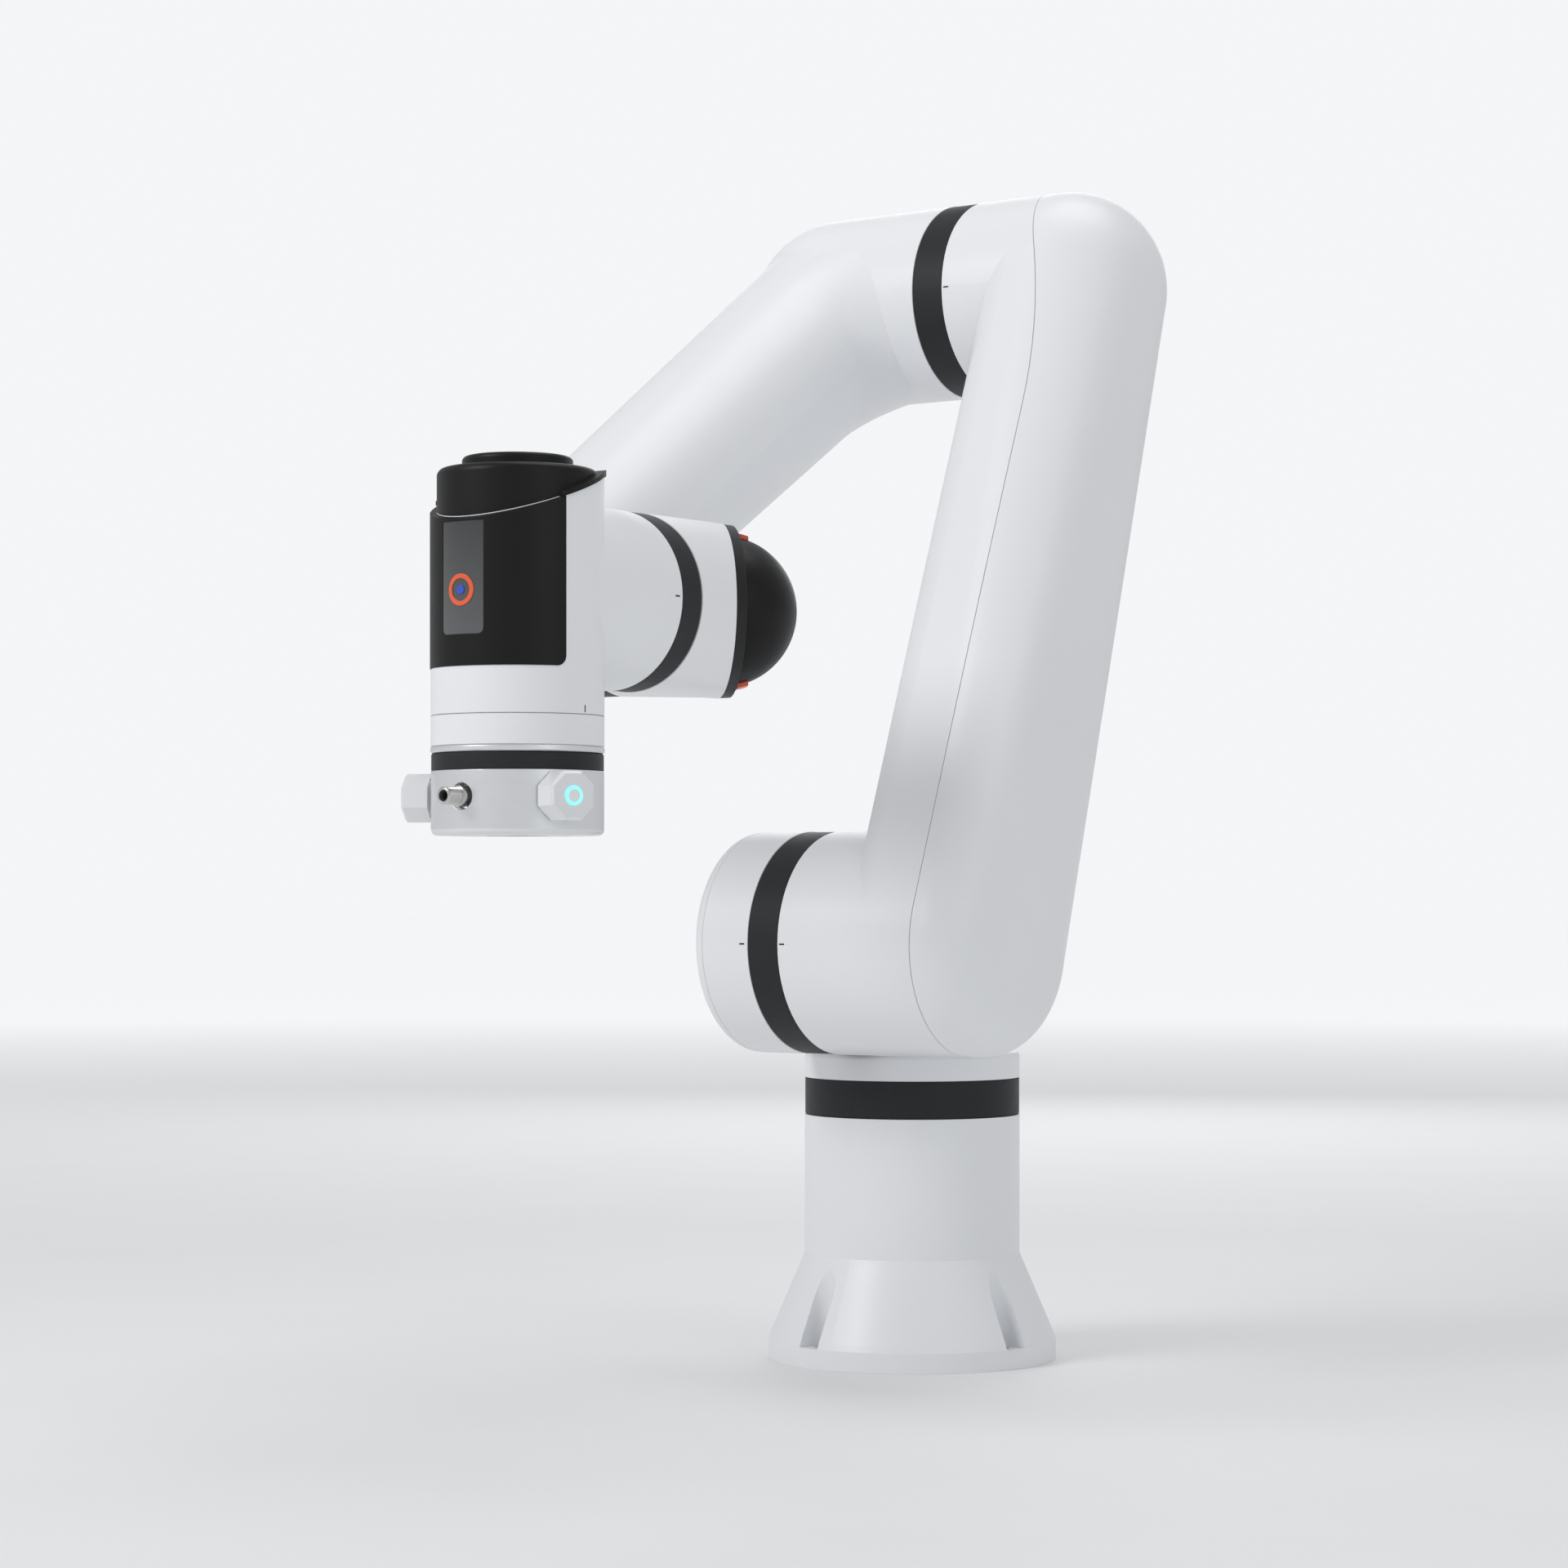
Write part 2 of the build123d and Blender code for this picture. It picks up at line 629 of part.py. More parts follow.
def cap_plate():
    """Plate that closes the band of the wrist cap around its dome."""
    with BuildPart() as body:
        add(elbow_4_5(0.3))
        add(mitre_block(CAP_BAND - 2.5), mode=Mode.INTERSECT)
        add(mitre_block(CAP_BAND), mode=Mode.SUBTRACT)
    return body.part


def cap_dome():
    """Round dome of the wrist cap."""
    with BuildPart() as body:
        with Locations((X4, Y5, Z5)):
            Sphere(DOME_R)
        add(mitre_block(CAP_BAND - 1), mode=Mode.INTERSECT)
    return body.part


with BuildPart() as wrist_1_housing:
    add(elbow_4_5(0))
    add(elbow_4_5(WALL), mode=Mode.SUBTRACT)
    add(tube(J4, R4 - 3, 0.22 * IN4, J4_RING, J4_RING + 6))
    add(tube(J5, IN5 + 1, IN5 - 8, -DEPTH[5] - LEDGE, -DEPTH[5]))
    add(mitre_block(0), mode=Mode.SUBTRACT)
wrist_1_housing.part.label = "wrist_1_housing"

with BuildPart() as wrist_1_cap:
    add(elbow_4_5(0.3))
    add(elbow_4_5(5.3), mode=Mode.SUBTRACT)
    add(mitre_block(0), mode=Mode.INTERSECT)
    add(mitre_block(CAP_BAND), mode=Mode.SUBTRACT)
    add(cap_plate())
    add(cap_dome())
    with Locations((X4, Y5, Z5)):
        Sphere(DOME_R - 4, mode=Mode.SUBTRACT)
wrist_1_cap.part.label = "wrist_1_cap"

with BuildPart() as wrist_1_accents:
    for way in (-1, 1):
        with BuildSketch(Plane(origin=(X4, Y5, Z5), x_dir=(1, 0, 0), z_dir=(0, 0, way))):
            with Locations(Location((-7.5, 7.5 * way, 0), (0, 0, 135 * way))):
                Rectangle(6, ACCENT)
        extrude(amount=R5)
    with Locations((X4, Y5, Z5)):
        Sphere(DOME_R + 2.2, mode=Mode.INTERSECT)
    with Locations((X4, Y5, Z5)):
        Sphere(DOME_R, mode=Mode.SUBTRACT)
    add(mitre_block(CAP_BAND), mode=Mode.INTERSECT)
wrist_1_accents.part.label = "wrist_1_accents"

# ---------------------------------------------------------------- wrist 2

with BuildPart() as wrist_2_housing:
    with BuildSketch(Plane(origin=(X6, Y6, LOWER_TOP))):
        Circle(R6)
    extrude(amount=CAP_TOP - LOWER_TOP)
    add(tube(J5, R5, 0, J5_RING, J5_RING + 14))
    with BuildSketch(J5.offset(J5_RING + 14)):
        Circle(R5)
    with BuildSketch(J5.offset(X6 - J5_MOUTH)):
        Circle(R6 - 1.5)
    loft()
    add(above_visor(0), mode=Mode.SUBTRACT)
    add(tube(J6, IN6, 0, LOWER_TOP - 500, J6_MOUTH - LOWER_TOP), mode=Mode.SUBTRACT)
    with BuildSketch(Plane(origin=(X6, Y6, 464))):
        Circle(R6 - 1)
    extrude(amount=4)
    add(tube(J6, IN6 + 1, IN6 - 8, -DEPTH[6] - LEDGE, -DEPTH[6]))
    add(tube(J5, IN5, 0, J5_RING + 6, X6 - J5_MOUTH - R6 + 2), mode=Mode.SUBTRACT)
    add(tube(J5, 0.22 * IN5, 0, J5_RING, X6 - J5_MOUTH - 10), mode=Mode.SUBTRACT)
    add(cover_band(2 * R6), mode=Mode.SUBTRACT)
    with BuildSketch(mark_plane(J5, R5, J5_RING + 4, (0, 1, 0))):
        Rectangle(3.6, 0.9)
    extrude(amount=-0.5, mode=Mode.SUBTRACT)
    with BuildSketch(mark_plane(J6, R6, J6_MOUTH - LOWER_TOP - 2.6, (0, 1, 0))):
        Rectangle(3.6, 0.9)
    extrude(amount=-0.5, mode=Mode.SUBTRACT)
wrist_2_housing.part.label = "wrist_2_housing"

with BuildPart() as wrist_2_cover:
    add(cover_band(R6 + 0.4))
    add(above_visor(-0.4), mode=Mode.SUBTRACT)
    add(screen_band(2 * R6), mode=Mode.SUBTRACT)
wrist_2_cover.part.label = "wrist_2_cover"

with BuildPart() as wrist_2_screen:
    add(screen_band(R6 + 0.2))
wrist_2_screen.part.label = "wrist_2_screen"

FACE = Plane(origin=(X6, Y6, EMBLEM_Z), x_dir=(0, 1, 0), z_dir=(1, 0, 0))

with BuildPart() as wrist_2_emblem_ring:
    with BuildSketch(FACE):
        Circle(8.0)
        Circle(5.6, mode=Mode.SUBTRACT)
    extrude(amount=60)
    add(tube(J6, R6 + 0.6, R6 + 0.2, -150, -50), mode=Mode.INTERSECT)
wrist_2_emblem_ring.part.label = "wrist_2_emblem_ring"

with BuildPart() as wrist_2_emblem_dot:
    with BuildSketch(FACE):
        Circle(2.4)
    extrude(amount=60)
    add(tube(J6, R6 + 0.6, R6 + 0.2, -150, -50), mode=Mode.INTERSECT)
wrist_2_emblem_dot.part.label = "wrist_2_emblem_dot"


def visor_peak():
    """Thin peak that follows the slope and overhangs the white shell."""
    with BuildPart() as body:
        with BuildSketch(Plane(origin=(X6, Y6, 460))):
            Circle(R6 + 1)
            with Locations((14, 0)):
                Rectangle(2 * R6, 4 * R6, align=(Align.MIN, Align.CENTER), mode=Mode.SUBTRACT)
        extrude(amount=60)
        add(above_visor(0), mode=Mode.INTERSECT)
        add(above_visor(2.4), mode=Mode.SUBTRACT)
    return body.part


with BuildPart() as wrist_2_cap:
    with BuildSketch(Plane(origin=(X6, Y6, 460))):
        Circle(R6 - 3)
    extrude(amount=CAP_TOP - 460)
    fillet(wrist_2_cap.edges().group_by(Axis.Z)[-1], 4)
    add(above_visor(0), mode=Mode.INTERSECT)
    with BuildSketch(Plane(origin=(X6, Y6, CAP_TOP - 1))):
        Circle(28)
    extrude(amount=DISC_TOP - CAP_TOP + 1)
    fillet(wrist_2_cap.edges().group_by(Axis.Z)[-1], 2.5)
    add(visor_peak())
wrist_2_cap.part.label = "wrist_2_cap"

with BuildPart() as wrist_2_lower_shell:
    add(tube(J6, R6, IN6, J6_MOUTH - LOWER_TOP + SEAM, J6_MOUTH - SILVER_TOP))
    add(tube(J6, R6 - 1, IN6, J6_MOUTH - LOWER_TOP, J6_MOUTH - SILVER_TOP))
wrist_2_lower_shell.part.label = "wrist_2_lower_shell"

with BuildPart() as wrist_2_trim_ring:
    add(tube(J6, R6 + 0.2, IN6, J6_MOUTH - SILVER_TOP, 0))
    chamfer(wrist_2_trim_ring.edges().filter_by(GeomType.CIRCLE).group_by(SortBy.RADIUS)[-1], 0.8)
wrist_2_trim_ring.part.label = "wrist_2_trim_ring"

# ---------------------------------------------------------------- tool flange

with BuildPart() as tool_flange:
    with BuildSketch(Plane(origin=(X6, Y6, FLANGE_BOTTOM))):
        Circle(FLANGE_R)
    extrude(amount=FLANGE_TOP - FLANGE_BOTTOM)
    fillet(tool_flange.edges().group_by(Axis.Z)[0], 3)
    with BuildSketch(Plane(origin=(X6, Y6, FLANGE_BOTTOM))):
        Circle(PILOT_R)
        with PolarLocations(TOOL_PCD / 2, 4, start_angle=45):
            Circle(TOOL_SCREW_R)
    extrude(amount=8, mode=Mode.SUBTRACT)
    with BuildSketch(Plane(origin=(X6, Y6, FLANGE_BOTTOM + 14))):
        Circle(28)
    extrude(amount=FLANGE_TOP - FLANGE_BOTTOM - 20, mode=Mode.SUBTRACT)
    add(tube(J6, 0.22 * IN6, 0, 0, 24), mode=Mode.SUBTRACT)
    for heading in (BUTTON_HEADING, -BUTTON_HEADING):
        with BuildSketch(button_plane(heading, FLANGE_R - 2)):
            Rectangle(17.2, 17.2)
        extrude(amount=10, mode=Mode.SUBTRACT)
    with BuildSketch(button_plane(0, FLANGE_R - 8)):
        Circle(SOCKET_RECESS_R)
    extrude(amount=20, mode=Mode.SUBTRACT)
tool_flange.part.label = "tool_flange"


def octagon_housing(heading):
    """Octagonal switch housing with a round pocket for the light ring and the button."""
    with BuildPart() as body:
        with BuildSketch(button_plane(heading, FLANGE_R - 2)):
            Rectangle(17, 17)
        extrude(amount=2.4)
        with BuildSketch(button_plane(heading, FLANGE_R + 0.3)):
            RegularPolygon(12.2, 8, major_radius=False, rotation=22.5)
        extrude(amount=BUTTON_OUT - FLANGE_R - 0.3)
        outward = Axis((X6, Y6, BUTTON_Z), button_plane(heading, 0).z_dir)
        chamfer(body.faces().sort_by(outward)[-1].edges(), 1.5)
        with BuildSketch(button_plane(heading, BUTTON_OUT)):
            Circle(LIGHT_R)
        extrude(amount=-7, mode=Mode.SUBTRACT)
    return body.part


def light_ring(heading):
    """Light ring pressed into the pocket of a switch housing."""
    with BuildPart() as body:
        with BuildSketch(button_plane(heading, BUTTON_OUT - 7)):
            Circle(LIGHT_R)
            Circle(BUTTON_R, mode=Mode.SUBTRACT)
        extrude(amount=7.3)
    return body.part


def push_button(heading):
    """Button cap that slides inside the light ring."""
    with BuildPart() as body:
        with BuildSketch(button_plane(heading, BUTTON_OUT - 7 + BUTTON_TRAVEL + 0.3)):
            Circle(BUTTON_R - RUN)
        extrude(amount=7 - BUTTON_TRAVEL + 0.9)
        chamfer(body.edges().group_by(Axis((0, 0, 0), button_plane(heading, 0).z_dir))[-1], 0.5)
    return body.part


with BuildPart() as button_housing_left:
    add(octagon_housing(BUTTON_HEADING))
button_housing_left.part.label = "button_housing_left"

with BuildPart() as button_housing_right:
    add(octagon_housing(-BUTTON_HEADING))
button_housing_right.part.label = "button_housing_right"

with BuildPart() as light_ring_left:
    add(light_ring(BUTTON_HEADING))
light_ring_left.part.label = "light_ring_left"

with BuildPart() as light_ring_right:
    add(light_ring(-BUTTON_HEADING))
light_ring_right.part.label = "light_ring_right"

with BuildPart() as push_button_left:
    add(push_button(BUTTON_HEADING))
push_button_left.part.label = "push_button_left"

with BuildPart() as push_button_right:
    add(push_button(-BUTTON_HEADING))
push_button_right.part.label = "push_button_right"

with BuildPart() as tool_connector:
    with BuildSketch(button_plane(0, FLANGE_R - 8)):
        Circle(6.0)
    extrude(amount=3)
    with BuildSketch(button_plane(0, FLANGE_R - 5)):
        Circle(5.2)
    extrude(amount=8)
    with BuildSketch(button_plane(0, FLANGE_R + 3)):
        Circle(4.4)
    extrude(amount=10.4)
    chamfer(tool_connector.edges().group_by(Axis.X)[-1], 0.6)
    with BuildSketch(button_plane(0, FLANGE_R + 13.4)):
        Circle(2.9)
    extrude(amount=-12, mode=Mode.SUBTRACT)
    with BuildSketch(button_plane(0, FLANGE_R - 2)):
        with PolarLocations(1.6, 4):
            Circle(0.4)
    extrude(amount=9)
tool_connector.part.label = "tool_connector"

# ---------------------------------------------------------------- drives, one set per axis

JOINTS = {
    1: (J1, R1, IN1, J1_RING),
    2: (J2, R2, IN2, J2_RING),
    3: (J3, R3, IN3, J3_RING),
    4: (J4, R4, IN4, J4_RING),
    5: (J5, R5, IN5, J5_RING),
    6: (J6, R6, IN6, J6_RING),
}

solids = []
for number, (plane, outer, inner, ring) in JOINTS.items():
    depth = DEPTH[number]
    with BuildPart() as joint_ring:
        add(seal_ring(plane, outer, ring))
    with BuildPart() as joint_motor:
        add(motor(plane, inner, depth))
    with BuildPart() as joint_gearbox:
        add(gearbox(plane, inner, depth))
    with BuildPart() as joint_hub:
        add(output_hub(plane, inner, depth, ring))
    joint_ring.part.label = f"joint_{number}_seal_ring"
    joint_motor.part.label = f"joint_{number}_motor"
    joint_gearbox.part.label = f"joint_{number}_gearbox"
    joint_hub.part.label = f"joint_{number}_output_hub"
    solids += [joint_ring.part, joint_motor.part, joint_gearbox.part, joint_hub.part]
    if number <= 3:
        with BuildPart() as joint_board:
            add(board(plane, inner, depth))
        joint_board.part.label = f"joint_{number}_controller"
        solids.append(joint_board.part)

solids += [
    base_housing.part,
    base_bottom_cover.part,
    base_connector_panel.part,
    base_power_socket.part,
    base_data_socket.part,
    shoulder_housing.part,
    shoulder_end_cap.part,
    upper_arm_housing.part,
    upper_arm_cover.part,
    forearm_housing.part,
    wrist_1_housing.part,
    wrist_1_cap.part,
    wrist_1_accents.part,
    wrist_2_housing.part,
    wrist_2_cover.part,
    wrist_2_screen.part,
    wrist_2_emblem_ring.part,
    wrist_2_emblem_dot.part,
    wrist_2_cap.part,
    wrist_2_lower_shell.part,
    wrist_2_trim_ring.part,
    tool_flange.part,
    button_housing_left.part,
    button_housing_right.part,
    light_ring_left.part,
    light_ring_right.part,
    push_button_left.part,
    push_button_right.part,
    tool_connector.part,
]
for solid in solids:
    export_step(solid, f"parts/{solid.label}.step")
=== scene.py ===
import json
from math import cos, pi, sin

import bmesh
import bpy
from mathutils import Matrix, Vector


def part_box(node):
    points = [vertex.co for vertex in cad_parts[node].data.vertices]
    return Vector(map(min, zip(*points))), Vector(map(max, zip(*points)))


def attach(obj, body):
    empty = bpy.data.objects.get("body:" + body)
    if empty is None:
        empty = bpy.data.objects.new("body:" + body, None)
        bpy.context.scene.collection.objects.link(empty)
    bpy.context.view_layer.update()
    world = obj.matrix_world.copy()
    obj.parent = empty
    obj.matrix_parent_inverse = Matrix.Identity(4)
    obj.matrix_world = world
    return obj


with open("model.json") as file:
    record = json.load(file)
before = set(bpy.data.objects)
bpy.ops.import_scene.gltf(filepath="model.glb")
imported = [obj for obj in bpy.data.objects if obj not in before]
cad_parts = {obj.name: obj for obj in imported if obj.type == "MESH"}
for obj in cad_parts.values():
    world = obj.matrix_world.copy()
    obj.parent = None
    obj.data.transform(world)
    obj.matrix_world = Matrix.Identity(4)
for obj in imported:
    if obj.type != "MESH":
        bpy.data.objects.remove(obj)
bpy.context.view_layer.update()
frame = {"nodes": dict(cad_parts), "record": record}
scene = bpy.context.scene
X, Y, Z = range(3)

# ------------------------------------------------------------------ camera

CAMERA = Vector((1.910, 1.285, 0.285))
LOOK = Vector((-0.810, -0.586, 0.0))     # level, so the uprights stay upright
LENS = 86.3
SENSOR = 36.0
SHIFT_UP = 0.068
FAR_CLIP = 100.0

camera = bpy.data.objects.new("camera", bpy.data.cameras.new("camera"))
scene.collection.objects.link(camera)
camera.location = CAMERA
camera.rotation_euler = LOOK.to_track_quat("-Z", "Y").to_euler()
camera.data.lens = LENS
camera.data.sensor_width = SENSOR
camera.data.shift_y = SHIFT_UP
camera.data.clip_end = FAR_CLIP
scene.camera = camera

# ------------------------------------------------------------------ floor and light

MIDDLE = (0.15, 0.05, 0.4)      # what the lights point at, half way up the arm
FLOOR_HALF = 30.0
BACKDROP = 0.93                 # what the camera sees behind the object
AMBIENT = 0.5                   # what lights the object from all sides
BACKDROP_COLOUR = (0.975, 0.985, 1.0, 1.0)


def stage_floor(half):
    mesh = bpy.data.meshes.new("floor")
    work = bmesh.new()
    bmesh.ops.create_grid(work, x_segments=8, y_segments=8, size=half)
    work.to_mesh(mesh)
    work.free()
    floor = bpy.data.objects.new("floor", mesh)
    scene.collection.objects.link(floor)
    return floor


def area_light(name, place, target, size, power, colour=(1.0, 1.0, 1.0)):
    light = bpy.data.objects.new(name, bpy.data.lights.new(name, "AREA"))
    scene.collection.objects.link(light)
    light.location = place
    aim = Vector(target) - Vector(place)
    light.rotation_euler = aim.to_track_quat("-Z", "Y").to_euler()
    light.data.shape = "DISK"
    light.data.size = size
    light.data.energy = power
    light.data.color = colour


floor = stage_floor(FLOOR_HALF)
area_light("key", (2.4, -0.9, 1.9), MIDDLE, size=1.3, power=27.0)
area_light("fill", (0.9, 2.6, 1.3), MIDDLE, size=1.8, power=6.0, colour=(0.94, 0.97, 1.0))
area_light("top", (-0.3, 0.2, 2.6), MIDDLE, size=1.6, power=12.0)
area_light("back", (-2.2, -1.2, 1.4), MIDDLE, size=1.6, power=10.0)

world = bpy.data.worlds.new("studio")
scene.world = world
world.use_nodes = True


def studio_world(tree):
    """Soft even light on the object, in front of a paler plain background."""
    back = tree.nodes["Background"]
    path = tree.nodes.new("ShaderNodeLightPath")
    level = tree.nodes.new("ShaderNodeMapRange")
    level.inputs["To Min"].default_value = AMBIENT
    level.inputs["To Max"].default_value = BACKDROP
    tree.links.new(path.outputs["Is Camera Ray"], level.inputs["Value"])
    tree.links.new(level.outputs["Result"], back.inputs["Strength"])
    back.inputs["Color"].default_value = BACKDROP_COLOUR


studio_world(world.node_tree)
scene.view_settings.view_transform = "Standard"

# ------------------------------------------------------------------ materials

BROAD_SCALE = 7.0               # noise features a hand wide, for tone
MIDDLE_SCALE = 95.0             # a centimetre wide, for gloss and rubbed edges
EDGE_START = 0.985              # the rounded and true normals part from here
EDGE_FULL = 0.8
RUB_GAIN = 0.72                 # a rubbed edge of the same colour is this much darker
COAT_ROUGHNESS = 0.12


class Nodes:
    """Short calls for the nodes of one material."""

    def __init__(self, name):
        self.material = bpy.data.materials.new(name)
        self.material.use_nodes = True
        self.tree = self.material.node_tree
        self.shader = self.tree.nodes["Principled BSDF"]
        self.place = self.tree.nodes.new("ShaderNodeTexCoord").outputs["Object"]

    def new(self, kind, settings=None, **inputs):
        node = self.tree.nodes.new(kind)
        for key, value in (settings or {}).items():
            setattr(node, key, value)
        for key, value in inputs.items():
            socket = node.inputs[key.replace("_", " ")]
            self.put(socket, value)
        return node

    def put(self, socket, value):
        if isinstance(value, bpy.types.NodeSocket):
            self.tree.links.new(value, socket)
        else:
            socket.default_value = value

    def noise(self, scale, detail=2.0, place=None):
        node = self.new("ShaderNodeTexNoise", Scale=scale, Detail=detail)
        self.tree.links.new(place or self.place, node.inputs["Vector"])
        return node.outputs["Fac"]

    def span(self, value, low, high, start=0.0, end=1.0):
        """Maps value from start..end to low..high, held at both ends."""
        node = self.new("ShaderNodeMapRange")
        limits = {"From Min": start, "From Max": end, "To Min": low, "To Max": high}
        for socket, number in limits.items():
            node.inputs[socket].default_value = number
        self.tree.links.new(value, node.inputs["Value"])
        return node.outputs["Result"]

    def calc(self, operation, first, second):
        node = self.new("ShaderNodeMath", {"operation": operation})
        self.put(node.inputs[0], first)
        self.put(node.inputs[1], second)
        return node.outputs["Value"]

    def mix(self, amount, first, second):
        node = self.new("ShaderNodeMix", {"data_type": "RGBA"})
        self.put(node.inputs["Factor"], amount)
        self.put(node.inputs["A"], first)
        self.put(node.inputs["B"], second)
        return node.outputs["Result"]

    def round_normal(self, radius):
        return self.new("ShaderNodeBevel", {"samples": 4}, Radius=radius).outputs["Normal"]

    def edges(self, normal):
        """1 along sharp edges, 0 on flat faces."""
        true = self.new("ShaderNodeNewGeometry").outputs["Normal"]
        node = self.new("ShaderNodeVectorMath", {"operation": "DOT_PRODUCT"})
        self.tree.links.new(normal, node.inputs[0])
        self.tree.links.new(true, node.inputs[1])
        return self.span(node.outputs["Value"], 0.0, 1.0, EDGE_START, EDGE_FULL)

    def bump(self, height, strength, distance, normal=None):
        node = self.new("ShaderNodeBump", Strength=strength, Distance=distance)
        self.tree.links.new(height, node.inputs["Height"])
        if normal:
            self.tree.links.new(normal, node.inputs["Normal"])
        return node.outputs["Normal"]


def rgba(colour, factor=1.0):
    return tuple(min(1.0, part * factor) for part in colour[:3]) + (1.0,)


def turned_grain(n, centre, axis):
    """Coordinates of (radius, 0, height), so that noise runs in rings round the axis."""
    split = n.new("ShaderNodeSeparateXYZ")
    n.tree.links.new(n.place, split.inputs["Vector"])
    squares = []
    for i in range(3):
        if i != axis:
            side = n.calc("SUBTRACT", split.outputs[i], centre[i])
            squares.append(n.calc("MULTIPLY", side, side))
    radius = n.calc("SQRT", n.calc("ADD", *squares), 0.0)
    join = n.new("ShaderNodeCombineXYZ")
    n.put(join.inputs[0], radius)
    n.put(join.inputs[2], split.outputs[axis])
    return join.outputs["Vector"]


def surface(name, colour, roughness, grain=900.0, depth=0.00002, vary=0.04, edge=0.0006,
            wear=0.25, worn=None, metallic=0.0, coat=0.0, lines=None, strength=0.3, specular=0.5):
    """A worked surface: broad tone changes, fine grain in the gloss and relief, rubbed edges.

    grain is the noise scale, depth and edge are metres, and vary and wear are shares from 0 to 1.
    lines is (centre, axis index) for a turned surface, whose grain then runs round that axis.
    """
    n = Nodes(name)
    place = turned_grain(n, *lines) if lines else n.place
    broad = n.noise(BROAD_SCALE, 3.0)
    middle = n.noise(MIDDLE_SCALE, 3.0)
    fine = n.noise(grain, 2.0, place)
    darker, lighter = rgba(colour, 1.0 - vary), rgba(colour, 1.0 + vary * 0.5)
    tone = n.mix(n.span(broad, 0.0, 1.0, 0.3, 0.7), darker, lighter)
    tone = n.mix(n.span(fine, 0.0, 0.35, 0.45, 0.75), tone, rgba(colour, 1.0 - 2.0 * vary))
    smooth = n.round_normal(edge)
    rub = n.calc("MULTIPLY", n.edges(smooth), n.span(middle, 0.0, wear, 0.35, 0.7))
    tone = n.mix(rub, tone, rgba(worn) if worn else rgba(colour, RUB_GAIN))
    n.put(n.shader.inputs["Base Color"], tone)
    patches = n.span(middle, roughness - 0.05, roughness + 0.06)
    gloss = n.calc("ADD", patches, n.calc("MULTIPLY", rub, 0.2))
    n.put(n.shader.inputs["Roughness"], n.calc("ADD", gloss, n.span(fine, -0.03, 0.04)))
    n.put(n.shader.inputs["Normal"], n.bump(fine, strength, depth, smooth))
    n.shader.inputs["Metallic"].default_value = metallic
    n.shader.inputs["Coat Weight"].default_value = coat
    n.shader.inputs["Coat Roughness"].default_value = COAT_ROUGHNESS
    n.shader.inputs["Specular IOR Level"].default_value = specular
    return n


WRIST_AXIS = tuple((low + high) / 2 for low, high in zip(*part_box("wrist_2_trim_ring")))

palette = {
    "white_paint": surface("white_paint", (0.84, 0.85, 0.87), 0.36, grain=1100.0, vary=0.02,
                           wear=0.3, strength=0.22, edge=0.0005).material,
    "black_satin": surface("black_satin", (0.007, 0.007, 0.0075), 0.4, grain=1500.0, vary=0.15,
                           worn=(0.025, 0.025, 0.026), strength=0.45, specular=0.22).material,
    "black_plastic": surface("black_plastic", (0.018, 0.018, 0.019), 0.55, grain=1300.0, vary=0.2,
                             worn=(0.07, 0.07, 0.07), strength=0.6).material,
    "seal_black": surface("seal_black", (0.016, 0.0175, 0.02), 0.5, grain=700.0, vary=0.15,
                          worn=(0.045, 0.045, 0.05), strength=0.5, specular=0.3).material,
    "orange_trim": surface("orange_trim", (0.80, 0.115, 0.035), 0.32, grain=1500.0, vary=0.08,
                           worn=(0.9, 0.3, 0.15), coat=0.3).material,
    "blue_trim": surface("blue_trim", (0.03, 0.08, 0.55), 0.3, grain=1500.0, vary=0.08,
                         coat=0.3).material,
    "satin_silver": surface("satin_silver", (0.80, 0.81, 0.83), 0.3, grain=2600.0, vary=0.05,
                            worn=(0.9, 0.9, 0.92), metallic=0.75, lines=(WRIST_AXIS, Z),
                            strength=0.4, depth=0.000015).material,
    "housing_grey": surface("housing_grey", (0.80, 0.81, 0.83), 0.24, grain=1400.0, vary=0.03,
                            worn=(0.9, 0.9, 0.92), coat=0.3).material,
    "button_white": surface("button_white", (0.84, 0.87, 0.88), 0.35, grain=1500.0,
                            vary=0.03).material,
    "nickel_plate": surface("nickel_plate", (0.63, 0.62, 0.60), 0.22, grain=1800.0, vary=0.06,
                            metallic=1.0, worn=(0.75, 0.7, 0.6)).material,
    "cover_plate": surface("cover_plate", (0.42, 0.43, 0.44), 0.42, grain=1200.0, vary=0.08,
                           metallic=0.8, worn=(0.6, 0.6, 0.6)).material,
    "motor_can": surface("motor_can", (0.30, 0.31, 0.33), 0.38, grain=900.0, vary=0.1,
                         metallic=0.85, worn=(0.6, 0.6, 0.6)).material,
    "gear_steel": surface("gear_steel", (0.42, 0.42, 0.43), 0.3, grain=1600.0, vary=0.08,
                          metallic=1.0, worn=(0.7, 0.7, 0.7)).material,
    "hub_aluminium": surface("hub_aluminium", (0.60, 0.61, 0.63), 0.34, grain=1400.0, vary=0.06,
                             metallic=0.9, worn=(0.8, 0.8, 0.8)).material,
    "mark_ink": surface("mark_ink", (0.03, 0.031, 0.034), 0.6, grain=1300.0, vary=0.1).material,
}


TRACK_GREEN = (0.03, 0.25, 0.09, 1.0)
# colours of a painted reflection on the screen glass, darker at the top and paler at the foot
SCREEN_REFLECTION_TOP = (0.045, 0.046, 0.05, 1.0)
SCREEN_REFLECTION_FOOT = (0.105, 0.107, 0.113, 1.0)
LAMP_CYAN = (0.12, 0.83, 0.9, 1.0)
LAMP_POWER = 0.9


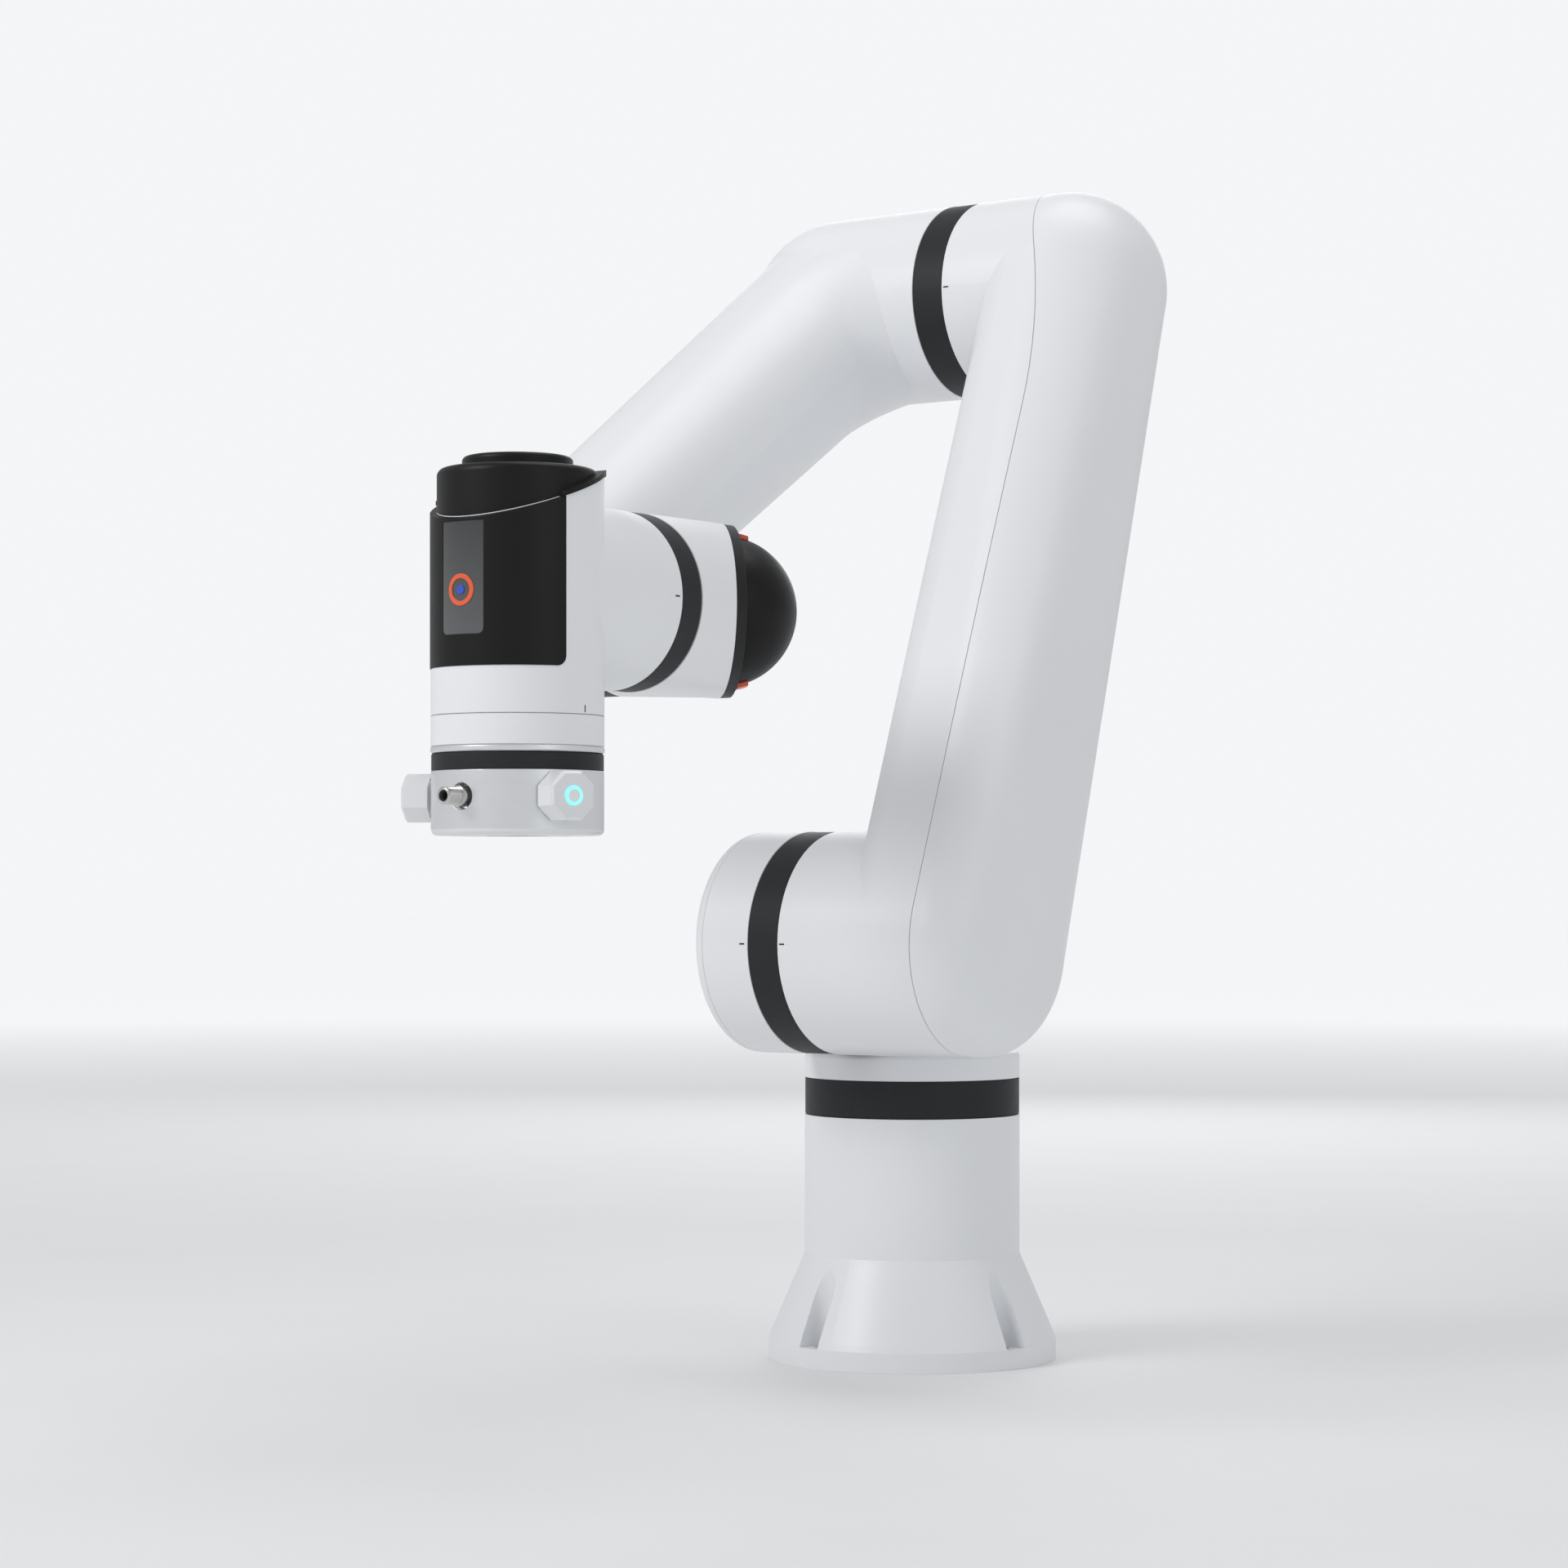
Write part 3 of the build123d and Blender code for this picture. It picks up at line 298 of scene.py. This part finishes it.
def circuit_board():
    """Green solder mask with paler tracks."""
    n = surface("circuit_board", (0.012, 0.11, 0.045), 0.3, grain=800.0, vary=0.15, coat=0.4)
    cells = n.new("ShaderNodeTexVoronoi", {"feature": "DISTANCE_TO_EDGE"}, Scale=160.0)
    n.tree.links.new(n.place, cells.inputs["Vector"])
    track = n.span(cells.outputs["Distance"], 1.0, 0.0, 0.02, 0.05)
    base = n.shader.inputs["Base Color"].links[0].from_socket
    n.put(n.shader.inputs["Base Color"], n.mix(track, base, TRACK_GREEN))
    return n.material


def display_glass():
    """Smoked window with a painted reflection, paler low down."""
    n = surface("screen_face", (0.075, 0.077, 0.082), 0.1, grain=1500.0, vary=0.05, edge=0.0004,
                worn=(0.2, 0.2, 0.2), coat=0.6, strength=0.05)
    low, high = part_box("wrist_2_screen")
    height = n.new("ShaderNodeSeparateXYZ")
    n.tree.links.new(n.place, height.inputs["Vector"])
    # painted reflection: the glass colour runs from darker at the top to paler at the foot
    level = n.span(height.outputs["Z"], 1.0, 0.0, low[2], high[2])
    painted_reflection = n.mix(level, SCREEN_REFLECTION_TOP, SCREEN_REFLECTION_FOOT)
    n.put(n.shader.inputs["Base Color"], painted_reflection)
    return n.material


def lit_ring():
    """Moulded light guide, a little uneven where the lamps sit behind it."""
    n = surface("cyan_light", (0.35, 0.85, 0.88), 0.3, grain=1200.0, vary=0.05)
    hot = n.span(n.noise(260.0, 1.0), 0.75, 1.25, 0.3, 0.7)
    n.put(n.shader.inputs["Emission Color"], LAMP_CYAN)
    n.put(n.shader.inputs["Emission Strength"], n.calc("MULTIPLY", hot, LAMP_POWER))
    return n.material


palette["circuit_board"] = circuit_board()
palette["screen_face"] = display_glass()
palette["cyan_light"] = lit_ring()


FLOOR_FADE = (0.9, 6.0)         # distances from the arm over which the floor starts to glow
FLOOR_GLOW = 0.5


def floor_material():
    """Matt pale floor that fades into the background far from the object."""
    n = surface("floor", (0.84, 0.845, 0.85), 0.7, grain=240.0, vary=0.01,
                strength=0.05, specular=0.1)
    reach = n.new("ShaderNodeVectorMath", {"operation": "LENGTH"})
    n.tree.links.new(n.place, reach.inputs[0])
    n.shader.inputs["Emission Color"].default_value = BACKDROP_COLOUR
    glow = n.span(reach.outputs["Value"], 0.0, FLOOR_GLOW, *FLOOR_FADE)
    n.put(n.shader.inputs["Emission Strength"], glow)
    return n.material


floor.data.materials.append(floor_material())

slots = {row["node"]: row["material_slot"] for row in frame["record"]["subparts"]}
for name, node in frame["nodes"].items():
    node.data.materials.clear()
    node.data.materials.append(palette[slots[name]])

# ------------------------------------------------------------------ added pieces


def mesh_piece(name, work, body, slot, material=None):
    mesh = bpy.data.meshes.new(name)
    bmesh.ops.recalc_face_normals(work, faces=work.faces)
    work.to_mesh(mesh)
    work.free()
    piece = bpy.data.objects.new(name, mesh)
    scene.collection.objects.link(piece)
    mesh.materials.append(palette[material or slot])
    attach(piece, body)


def wrapped(outline, base, height, to_space):
    """A closed patch: an outline in (along, around), raised from base to height, then placed."""
    work = bmesh.new()
    rings = []
    for level in (base, height):
        rings.append([work.verts.new(to_space(u, v, level)) for u, v in outline])
    work.faces.new(rings[1])
    work.faces.new(list(reversed(rings[0])))
    count = len(outline)
    for i in range(count):
        j = (i + 1) % count
        work.faces.new((rings[0][i], rings[0][j], rings[1][j], rings[1][i]))
    return work


def on_cylinder(centre, axis, start):
    """Maps (along the axis, angle from start, radius) to space."""
    axis = Vector(axis).normalized()
    start = Vector(start).normalized()
    side = axis.cross(start)

    def place(along, angle, radius):
        return Vector(centre) + axis * along + (start * cos(angle) + side * sin(angle)) * radius

    return place


def turned(name, profile, centre, axis, start, body, slot, segments=48):
    """A closed profile of (along the axis, radius), turned about the axis through centre."""
    work = bmesh.new()
    place = on_cylinder(centre, axis, start)
    rings = []
    for step in range(segments):
        angle = 2 * pi * step / segments
        rings.append([work.verts.new(place(u, angle, r)) for u, r in profile])
    count = len(profile)
    for i in range(segments):
        one, two = rings[i], rings[(i + 1) % segments]
        for j in range(count - 1):
            work.faces.new((one[j], one[j + 1], two[j + 1], two[j]))
    work.faces.new([ring[0] for ring in rings])
    work.faces.new([ring[-1] for ring in rings])
    for face in work.faces:
        face.smooth = len(face.verts) == 4
    mesh_piece(name, work, body, slot)


MARK_LENGTH = 0.0034
MARK_WIDTH = 0.0007
INK_FLOOR = 0.00045             # depths below the housing's skin
INK_FACE = 0.00008
INK_ROUNDING = 0.00006
RING_INSET = 0.00025            # a seal ring is this much smaller in radius than its housing


def zero_mark(name, body, node, axis, side, offset, lift=RING_INSET):
    """Ink laid in an engraved zero mark, a little below the surface; offset is from node's end."""
    low, high = (Vector(corner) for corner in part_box(node))
    centre = (low + high) / 2
    radius = (high[side] - low[side]) / 2 + lift
    centre[axis] = (high if offset > 0 else low)[axis] + offset
    along, start = (Vector([float(i == j) for i in range(3)]) for j in (axis, side))
    half = MARK_WIDTH / 2 / radius
    corners = ((-1, -1), (1, -1), (1, 1), (-1, 1))
    outline = [(u * MARK_LENGTH / 2, v * half) for u, v in corners]
    to_space = on_cylinder(centre, along, start)
    work = wrapped(outline, radius - INK_FLOOR, radius - INK_FACE, to_space)
    bmesh.ops.bevel(work, geom=work.edges[:], offset=INK_ROUNDING, segments=2,
                    affect="EDGES", profile=0.5)
    mesh_piece(name, work, body, "seal_black", "mark_ink")


zero_mark("mark_2_shoulder", "shoulder", "joint_2_seal_ring", Y, X, -0.0040)
zero_mark("mark_2_arm", "upper_arm", "joint_2_seal_ring", Y, X, 0.0033)
zero_mark("mark_3_arm", "upper_arm", "joint_3_seal_ring", Y, X, 0.0033)
zero_mark("mark_5_wrist", "wrist_2", "joint_5_seal_ring", X, Y, 0.0040)
zero_mark("mark_6_wrist", "wrist_2", "wrist_2_lower_shell", Z, Y, 0.0026, 0.0)

# black insulator inside the connector on the flange, a cup open toward the mouth
low, high = (Vector(corner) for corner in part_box("tool_connector"))
TIP = Vector((high.x, (low.y + high.y) / 2, (low.z + high.z) / 2))
SLEEVE = 0.00285                # outer radius, a close fit in the connector's bore
CUP_BACK, CUP_FLOOR, CUP_LIP = -0.0068, -0.0055, -0.0003     # along the axis, from the mouth
PIN_ROOM = 0.0004               # radius left open at the centre
CUP = (
    (CUP_BACK, SLEEVE),
    (CUP_LIP - 0.0003, SLEEVE),
    (CUP_LIP, SLEEVE - 0.0001),
    (CUP_LIP, SLEEVE - 0.00045),
    (CUP_FLOOR + 0.0003, SLEEVE - 0.00055),
    (CUP_FLOOR, SLEEVE - 0.0008),
    (CUP_FLOOR, PIN_ROOM),
)
turned("connector_insulator", CUP, TIP, (1, 0, 0), (0, 1, 0), "tool_flange", "black_plastic")
